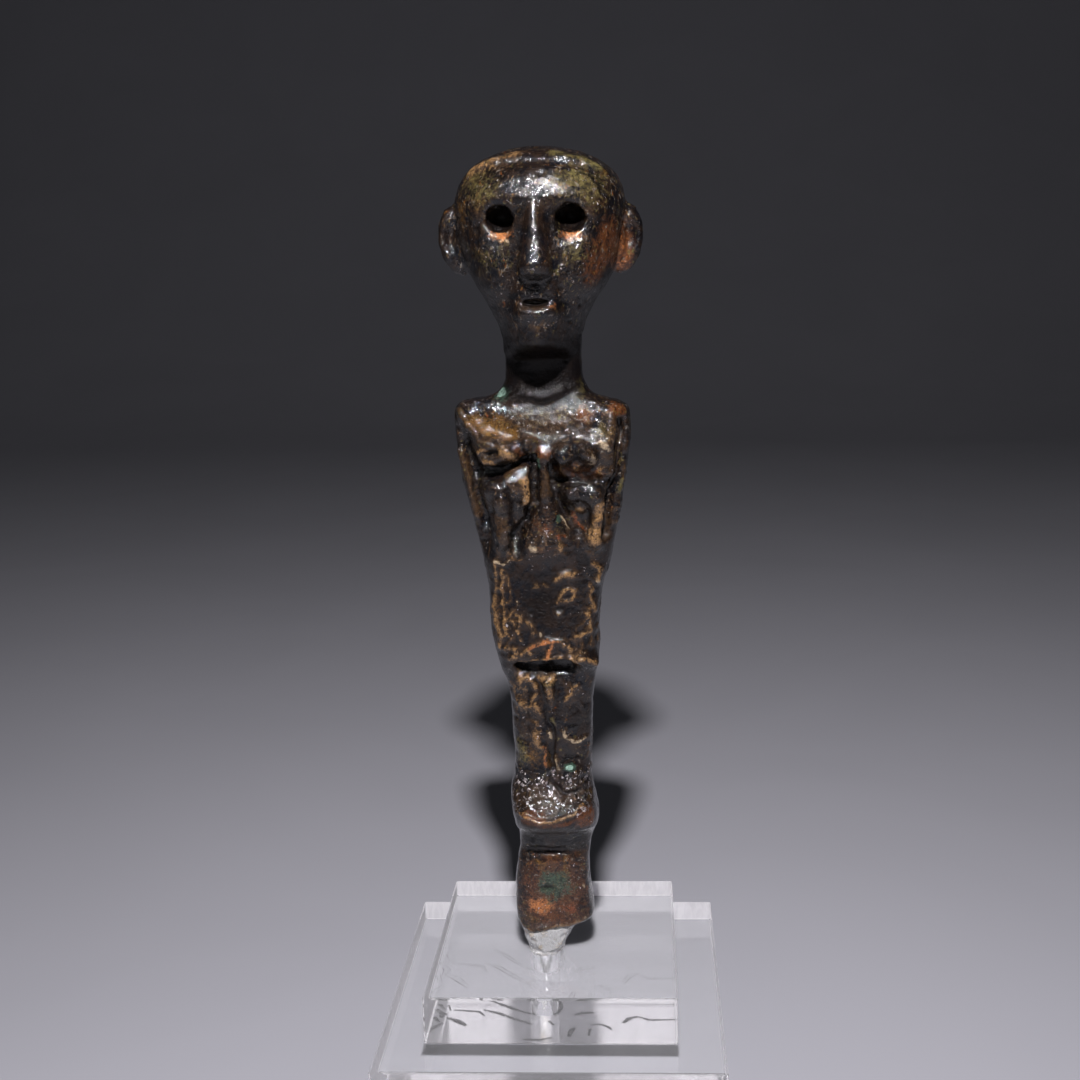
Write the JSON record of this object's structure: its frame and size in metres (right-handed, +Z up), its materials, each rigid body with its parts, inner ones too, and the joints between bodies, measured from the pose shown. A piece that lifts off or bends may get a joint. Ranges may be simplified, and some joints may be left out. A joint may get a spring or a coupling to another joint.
{
  "type": "bronze votive figure",
  "caption": "Slim cast bronze standing figure with drilled eyes, arms at its sides and a tang, held by clear adhesive on a stepped clear acrylic base.",
  "frame": {"origin": "centre of the underside of the lower acrylic plate, on the surface that the stand rests on", "axes": "+Z up, the figure faces -Y, and +X is on the right of someone who faces it"},
  "size_m": [0.0684, 0.0684, 0.1829],
  "materials": {
    "bronze": "waxed dark brown patina with tan, ochre, red and green mottling",
    "acrylic": "clear acrylic sheet with sawn and polished edges",
    "adhesive": "clear set adhesive with a faint amber tint"
  },
  "bodies": {
    "root": {"lower_plate": "acrylic", "upper_block": "acrylic", "mounting_adhesive": "adhesive", "bronze_figure": "bronze"}
  },
  "joints": []
}
